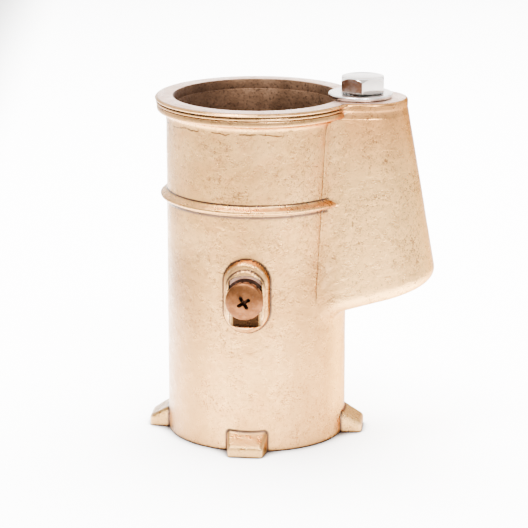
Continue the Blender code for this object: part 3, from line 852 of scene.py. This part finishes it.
def sand_grain(n, colour, x):
    """Dark grain and pits, more of them in patches and towards the pocket's nose."""
    nose = n.remap(x, BORE_AXIS.x + 30 * MM, BORE_AXIS.x + 50 * MM)
    sandy = n.math('ADD', n.remap(n.noise(11, 2), 0.42, 0.62, 0.25, 1.0), n.product(nose, 0.15))
    grain = n.math('ADD', n.product(n.noise(0.42, 2, 0.65), 0.6), n.product(n.noise(1.05, 2, 0.6), 0.4))
    colour = n.lay(colour, (0.21, 0.085, 0.028), n.remap(grain, 0.52, 0.36), sandy, 0.85)
    threshold = n.remap(nose, 0, 1, 0.31, 0.36, smooth=False)
    pits = n.remap(n.math('SUBTRACT', threshold, n.noise(0.8, 2, 0.5)), 0.0, 0.05)
    return n.lay(colour, (0.07, 0.027, 0.012), pits, 0.6), grain, pits


def crease_shade_and_wrinkle(n, colour, x, y, z):
    """Painted shade along the fine crease beside the pocket's fillet, and the broken wrinkle below the rim.
    """
    half_at_foot = POCKET_HALF_TOP + (CREASE_OFFSET + H * POCKET_DRAFT) * MM
    crease_shade = n.math('SUBTRACT', n.away(y, BORE_AXIS.y), half_at_foot)
    crease_shade = n.math('ABSOLUTE', n.math('ADD', crease_shade, n.product(z, POCKET_DRAFT)), 0)
    # painted shade in the crease
    colour = n.lay(colour, (0.045, 0.025, 0.016), n.remap(crease_shade, 0.20 * MM, 0.06 * MM),
                   n.remap(z, 43 * MM, 47 * MM),
                   n.remap(x, BORE_AXIS.x + 25.5 * MM, BORE_AXIS.x + 24.5 * MM),
                   n.remap(x, BORE_AXIS.x + 15 * MM, BORE_AXIS.x + 16 * MM),
                   n.remap(n.noise(6, 2), 0.35, 0.55, 0.3, 0.85))
    line = n.away(n.math('ADD', z, n.product(n.noise(7, 2), 2.4 * MM)), HEIGHT - 5.7 * MM)
    return n.lay(colour, (0.06, 0.024, 0.010), n.remap(line, 0.30 * MM, 0.10 * MM),
                 n.remap(n.noise(3.5, 2), 0.42, 0.52),
                 n.remap(x, BORE_AXIS.x + 14 * MM, BORE_AXIS.x + 8 * MM), 0.85)


def corner_shade_and_recess(n, colour, y, z, across, rim, point):
    """Painted shade in the corners, and the wire recess: pale above its screw, with painted shadow round and
    under the screw's head.
    """
    # painted shade in corners: pointiness, stored hollowness and ambient occlusion
    hollow = n.math('MAXIMUM', n.remap(point, 0.487, 0.445), n.remap(n.stored("hollow"), 0.15, 0.65))
    hollow = n.math('MAXIMUM', n.crevice(1.8, 0.82, 0.40), hollow)
    depth = RECESS_DEPTH - BOSS_FACE + BORE_AXIS.y
    reach = n.distance((BORE_AXIS.x, 0, SCREW_Z), (1, 0, 1))
    recess = n.product(n.remap(y, depth - 0.15 * MM, depth - 0.05 * MM),
                       n.remap(y, BORE_AXIS.y - 26 * MM, BORE_AXIS.y - 27 * MM),
                       n.remap(reach, 9.5 * MM, 9.0 * MM), n.remap(across, 5.1 * MM, 4.9 * MM))
    # painted shadow in a ring round the screw's head
    ring = n.product(recess, n.remap(reach, SCREW_HEAD_R + 0.45 * MM, SCREW_HEAD_R + 0.3 * MM))
    # painted shadow under the screw's head
    under = n.product(recess, n.remap(z, SCREW_Z - 4.6 * MM, SCREW_Z - 5.1 * MM),
                      n.remap(across, 4.1 * MM, 3.6 * MM))
    dusty = n.product(recess, n.remap(z, SCREW_Z + 2.0 * MM, SCREW_Z + 3.0 * MM))
    colour = n.lay(colour, (0.95, 0.57, 0.41), dusty, 0.9)
    # the painted corner shade, fainter in the recess and on the rim
    colour = n.lay(colour, (0.075, 0.045, 0.032), hollow, n.rest(n.product(recess, 0.85)),
                   n.math('SUBTRACT', 0.95, n.product(rim, 0.35)))
    # painted shadow round and under the screw's head
    return n.lay(colour, (0.030, 0.011, 0.005), n.math('MAXIMUM', ring, under), 0.96), dusty


def cast_bronze():
    """Pale rose bronze, sand cast and tumbled: grain, pits, rubbed edges with painted highlight, and painted
    shade in corners and round the screw.
    """
    n = Nodes("cast_bronze_surface")
    x, y, z = n.axis(0), n.axis(1), n.axis(2)
    across = n.away(x, BORE_AXIS.x)
    rim = n.remap(z, HEIGHT - 4.6 * MM, HEIGHT - 4.2 * MM)
    colour, grain, pits = sand_grain(n, cast_tones(n, x, z, across, rim), x)
    point = n.add("ShaderNodeNewGeometry").outputs["Pointiness"]
    # convex edges made lighter: part real wear, part painted highlight
    rubbed = n.math('MAXIMUM', n.remap(point, 0.52, 0.60), n.remap(n.stored("edge"), 0.10, 0.45))
    colour = crease_shade_and_wrinkle(n, n.lay(colour, (1.0, 0.64, 0.32), rubbed, 0.75), x, y, z)
    colour, dusty = corner_shade_and_recess(n, colour, y, z, across, rim, point)
    # brown reflections at a glancing angle, more so on the pocket's side
    side = n.remap(x, BORE_AXIS.x - 18 * MM, BORE_AXIS.x + 8 * MM)
    n.link(n.mix(side, (1.0, 1.0, 1.0), (0.36, 0.29, 0.28)), n.shader.inputs["Specular Tint"])
    rough = n.remap(n.noise(3, 3), 0.3, 0.7, 0.24, 0.38)
    rough = n.math('SUBTRACT', rough, n.product(rubbed, 0.10))
    calm = n.rest(n.product(rim, 0.8))
    normal = n.bump(n.product(n.noise(2.4, 3), calm), 0.25, 0.6)
    normal = n.bump(n.product(grain, calm), 0.22, 0.9, normal)
    normal = n.bump(n.product(pits, -1.0), 0.12, 0.8, normal)
    return n.finish(colour, rough, normal, n.rest(n.product(dusty, 0.85)))


def machined_bronze():
    """The faced top: pinkish, with fine concentric tool marks."""
    n = Nodes("machined_bronze_surface")
    spacing = 0.28 * MM
    rings = n.math('SINE', n.product(n.distance(BORE_AXIS), 2 * math.pi / spacing), 0)
    wander = n.math('ADD', rings, n.product(n.noise(1.5, 2), 1.5))
    colour = n.mix(n.remap(n.noise(6, 3), 0.35, 0.7), (0.82, 0.52, 0.39), (0.97, 0.67, 0.50))
    colour = n.mix(n.remap(n.noise(0.9, 3), 0.52, 0.70, 0, 0.5), colour, (0.30, 0.15, 0.11))
    rough = n.remap(n.noise(2, 2), 0.3, 0.7, 0.24, 0.38)
    normal = n.bump(wander, 0.006, 0.8)
    normal = n.bump(n.noise(0.6, 2), 0.03, 0.5, normal)
    return n.finish(colour, rough, normal)


def bore_bronze():
    """The as-cast inside: brown and grainy, darkened as painted shade."""
    n = Nodes("bore_bronze_surface")
    colour = n.mix(n.remap(n.noise(7, 3), 0.35, 0.68), (0.12, 0.062, 0.033), (0.20, 0.11, 0.062))
    colour = n.mix(n.remap(n.noise(0.8, 2), 0.50, 0.70, 0, 0.7), colour, (0.035, 0.017, 0.009))
    # painted shade: darker towards the bore's -X side
    bore_side_shade = n.remap(n.axis(0), BORE_AXIS.x - 6 * MM, BORE_AXIS.x - 20 * MM, 0, 0.6)
    colour = n.mix(bore_side_shade, colour, (0.05, 0.024, 0.014))
    rough = n.remap(n.noise(1.5, 2), 0.3, 0.7, 0.5, 0.68)
    normal = n.bump(n.noise(0.7, 3), 0.14, 0.9)
    return n.finish(colour, rough, normal, 0.9)


def steel(name, light, dark, rough, scratch_stretch, reflection_flat_angle=None):
    """Bright stainless with a brushed grain; a painted brown reflection on the flat that faces
    reflection_flat_angle.
    """
    n = Nodes(name)
    colour = n.mix(n.remap(n.noise(4, 3), 0.35, 0.7), dark, light)
    brushed = n.noise(0.35, 2, 0.6, scratch_stretch)
    roughness = n.remap(brushed, 0.3, 0.7, rough - 0.03, rough + 0.05)
    if reflection_flat_angle is not None:
        # painted reflection: brown and rougher on the flat facing that angle
        facing = n.add("ShaderNodeVectorMath", operation='DOT_PRODUCT')
        facing.inputs[1].default_value = (math.cos(reflection_flat_angle * DEG), math.sin(reflection_flat_angle * DEG), 0)
        n.link(n.add("ShaderNodeTexCoord").outputs["Normal"], facing.inputs[0])
        flat_reflection = n.remap(facing.outputs["Value"], 0.97, 0.985)
        flat_reflection = n.product(flat_reflection, n.remap(n.noise(3, 2), 0.3, 0.6, 0.8, 1.0))
        colour = n.lay(colour, (0.19, 0.092, 0.052), flat_reflection)
        roughness = n.math('ADD', roughness, n.product(flat_reflection, 0.3))
    # painted shade in crevices
    colour = n.lay(colour, (0.06, 0.05, 0.045), n.crevice(1.0, 0.8, 0.4), 0.8)
    normal = n.bump(brushed, 0.006, 0.5)
    normal = n.bump(n.noise(1.6, 2), 0.02, 0.3, normal)
    return n.finish(colour, roughness, normal)


def dark_bronze(name, light, dark):
    """Copper-brown screw bronze, rubbed lighter in places."""
    n = Nodes(name)
    colour = n.mix(n.remap(n.noise(2.2, 3), 0.38, 0.66), dark, light)
    colour = n.mix(n.remap(n.noise(0.6, 2), 0.55, 0.7, 0, 0.4), colour, (0.20, 0.10, 0.06))
    rough = n.remap(n.noise(1.2, 2), 0.3, 0.7, 0.40, 0.54)
    normal = n.bump(n.noise(0.5, 2), 0.02, 0.5)
    return n.finish(colour, rough, normal)


def paint_casting(body):
    """Give the casting's faces their finish: as cast, faced, or inside."""
    mesh = body.data
    for material in (cast_bronze(), machined_bronze(), bore_bronze()):
        mesh.materials.append(material)
    as_cast, faced, inner = 0, 1, 2
    count = len(mesh.polygons)
    centres, normals = np.empty(count * 3), np.empty(count * 3)
    mesh.polygons.foreach_get("center", centres)
    mesh.polygons.foreach_get("normal", normals)
    centres, normals = centres.reshape(-1, 3), normals.reshape(-1, 3)
    local = centres - np.array(BORE_AXIS)
    radial = np.hypot(local[:, 0], local[:, 1])
    top = (normals[:, 2] > 0.98) & (centres[:, 2] > HEIGHT - 0.05 * MM)
    inside = (radial < MOUTH_R + 0.5 * MM) & ~top & (centres[:, 2] > 0.02 * MM)
    in_cavity = (local[:, 0] > 0) & (radial > BORE_R) & (centres[:, 2] < HEIGHT) & ~top
    # well within the pocket's walls and above its floor
    reach = (pocket_half(centres[:, 2] / MM) - 1.2) * MM
    end = (pocket_end(centres[:, 2] / MM) - 1.2) * MM
    in_cavity &= (np.abs(local[:, 1]) < reach) & (local[:, 0] < end)
    floor = (pocket_floor(local[:, 0] / MM) + 1.4) * MM
    in_cavity &= (centres[:, 2] > floor) & (radial < end)
    hub = end - reach
    in_cavity &= np.hypot(np.maximum(local[:, 0] - hub, 0), local[:, 1]) < reach
    slots = np.full(count, as_cast, np.int32)
    slots[inside | in_cavity] = inner
    slots[top] = faced
    mesh.polygons.foreach_set("material_index", slots)


# ------------------------------------------------------------ assembly
def show(piece, node, body, slot, *materials):
    """Let a fine piece stand for its CAD node and ride on its body."""
    for material in materials:
        piece.data.materials.append(material)
    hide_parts(node)
    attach(piece, body)


casting = build_casting()
paint_casting(casting)
show(casting, "socket_body", "socket", "cast_bronze")
wedge_surface = dark_bronze("wedge_surface", (0.78, 0.55, 0.38), (0.66, 0.43, 0.27))
show(build_wedge(), "wedge", "wedge", "wedge_bronze", wedge_surface)
bolt_surface = steel("bolt_surface", (0.97, 0.89, 0.84), (0.86, 0.78, 0.73), 0.12, (1, 1, 0.15),
                     reflection_flat_angle=BOLT_TURN + 210)
show(build_bolt(), "wedge_bolt", "bolt", "stainless", bolt_surface)
washer_surface = steel("washer_surface", (0.98, 0.91, 0.86), (0.90, 0.82, 0.77), 0.2, (0.2, 1, 1))
show(build_flat_washer(), "flat_washer", "washer", "washer_steel", washer_surface)
# the second surface is painted shade for the cross recess
screw_surfaces = (dark_bronze("screw_surface", (0.21, 0.080, 0.027), (0.135, 0.050, 0.017)),
                  dark_bronze("cross_recess_shade_surface", (0.035, 0.014, 0.007), (0.02, 0.008, 0.004)))
show(build_bonding_screw(), "bonding_screw", "bonding_screw", "screw_bronze", *screw_surfaces)
lock_washer_surface = dark_bronze("lock_washer_surface", (0.42, 0.19, 0.09), (0.26, 0.11, 0.05))
show(build_bonding_washer(), "bonding_washer", "bonding_washer", "bonding_washer_bronze", lock_washer_surface)


# ------------------------------------------------------------ studio
def build_floor():
    """A pale seamless sheet: flat under the object, curving up behind."""
    half, back, rise, radius = 1.6, 1.6, 1.0, 0.5
    profile = [(-half, 0.0), (back - radius, 0.0)]
    profile += [(back - radius + radius * math.sin(a), radius - radius * math.cos(a))
                for a in np.radians(np.linspace(10, 90, 9))]
    profile += [(back, rise)]
    vertices = [(x, y, z) for y, z in profile for x in (-half * 1.5, half * 1.5)]
    faces = [(2 * i, 2 * i + 1, 2 * i + 3, 2 * i + 2) for i in range(len(profile) - 1)]
    floor = mesh_object("floor", vertices, faces)
    n = Nodes("floor_surface")
    colour = n.mix(n.noise(40, 2), (0.93, 0.925, 0.92), (0.95, 0.945, 0.94))
    # white on a strip that widens behind the object and fills the photograph's frame;
    # grey beyond it, which the metal mirrors
    x, y, z = n.axis(0), n.axis(1), n.axis(2)
    side = n.math('SUBTRACT', n.math('ABSOLUTE', x, 0), n.product(y, 0.13))
    white = n.product(n.remap(side, 0.16, 0.115), n.remap(y, -0.15, -0.095), n.remap(y, 1.15, 0.95))
    grey = n.mix(n.remap(x, -0.1, 0.1), (0.28, 0.275, 0.27), (0.31, 0.303, 0.297))
    grey = n.mix(n.remap(z, 0.12, 0.2), grey, (0.85, 0.84, 0.83))
    colour = n.mix(white, grey, colour)
    # painted contact shadow on the sheet round the object's foot
    colour = n.lay(colour, (0.03, 0.012, 0.006), n.crevice(6, 0.82, 0.42), 0.97)
    n.link(colour, n.shader.inputs["Base Color"])
    n.shader.inputs["Roughness"].default_value = 0.7
    floor.data.materials.append(n.material)


def area_light(name, position, target, size, watts):
    data = bpy.data.lights.new(name, 'AREA')
    data.shape = 'RECTANGLE'
    data.size, data.size_y = size
    data.energy = watts
    lamp = bpy.data.objects.new(name, data)
    bpy.context.scene.collection.objects.link(lamp)
    lamp.location = position
    direction = Vector(target) - Vector(position)
    lamp.rotation_euler = direction.to_track_quat('-Z', 'Y').to_euler()
    return lamp


def build_light():
    """A soft dome, lighter behind the object, two softboxes, and a lamp for the sheet."""
    world = bpy.data.worlds.new("studio")
    world.use_nodes = True
    tree = world.node_tree
    direction = tree.nodes.new("ShaderNodeTexCoord").outputs["Generated"]
    split = tree.nodes.new("ShaderNodeSeparateXYZ")
    tree.links.new(direction, split.inputs[0])
    ramp = tree.nodes.new("ShaderNodeMapRange")
    ramp.interpolation_type = 'SMOOTHSTEP'
    for key, value in (("From Min", -0.2), ("From Max", 0.9), ("To Min", 1.0), ("To Max", 4.0)):
        ramp.inputs[key].default_value = value
    tree.links.new(split.outputs["Y"], ramp.inputs["Value"])
    background = tree.nodes["Background"]
    background.inputs["Color"].default_value = (1.0, 0.99, 0.98, 1)
    tree.links.new(ramp.outputs["Result"], background.inputs["Strength"])
    bpy.context.scene.world = world
    middle = (0, 0, HEIGHT / 2)
    area_light("key", (0.32, -0.62, 0.75), middle, (0.26, 0.26), 14)
    area_light("top", (-0.25, -0.25, 0.9), middle, (0.30, 0.30), 14)
    # this one whitens the sheet only, and isn't mirrored in the metal
    sheet = area_light("sheet", (0.0, 0.35, 0.9), (0, 0.3, 0), (1.2, 1.2), 170)
    sheet.visible_glossy = False


def build_camera():
    """Long lens from the front, a little to the right of -Y and above."""
    azimuth, elevation, distance = 6.2 * DEG, 14.91 * DEG, 769.2 * MM
    forward = Vector((-math.cos(elevation) * math.sin(azimuth), math.cos(elevation) * math.cos(azimuth),
                      -math.sin(elevation)))
    sideways = Vector((math.cos(azimuth), math.sin(azimuth), 0))
    aim = BORE_AXIS + sideways * 2.2 * MM + Vector((0, 0, 0.493 * HEIGHT))
    data = bpy.data.cameras.new("camera")
    data.lens = 173.3
    data.sensor_width = 36
    camera = bpy.data.objects.new("camera", data)
    bpy.context.scene.collection.objects.link(camera)
    camera.location = aim - forward * distance
    camera.rotation_euler = forward.to_track_quat('-Z', 'Y').to_euler()
    bpy.context.scene.camera = camera


build_floor()
build_light()
build_camera()
